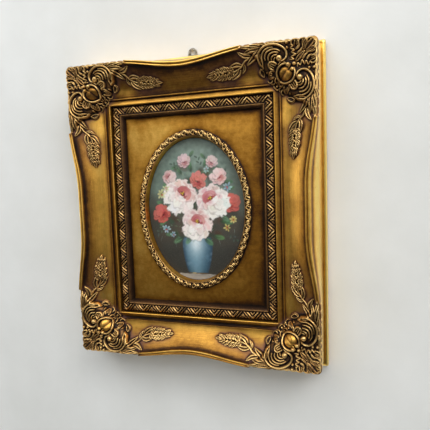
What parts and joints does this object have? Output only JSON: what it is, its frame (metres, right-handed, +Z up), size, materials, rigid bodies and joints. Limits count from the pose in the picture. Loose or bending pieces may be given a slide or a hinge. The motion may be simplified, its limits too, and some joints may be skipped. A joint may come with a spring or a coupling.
{
  "type": "framed oil painting",
  "caption": "Small upright wall picture: a flower piece behind a gilded slip with an oval opening, in a deep swept carved and gilded frame with a hanging eye.",
  "frame": {"origin": "the point the picture hangs from: the top of the hole of the hanging eye, on the back plane", "axes": "+Z up, +X to the viewer's right as the picture is looked at, the front faces -Y and the back plane is Y = 0"},
  "size_m": [0.314, 0.0498, 0.3818],
  "materials": {
    "outer_frame": "carved ornament under antique gilding, satin, brown in the recesses",
    "inner_frame": "carved zigzag under darker antique gilding, satin",
    "oval_slip": "smooth bronze gilding with a carved pale gold ring, satin",
    "painting": "oil paint on a thin board, low relief, soft sheen",
    "hanger": "stamped tin plate, a little tarnished"
  },
  "bodies": {
    "root": {"outer_frame": "outer_frame", "inner_frame": "inner_frame", "oval_slip": "oval_slip", "painting": "painting", "hanger": "hanger"}
  },
  "joints": []
}
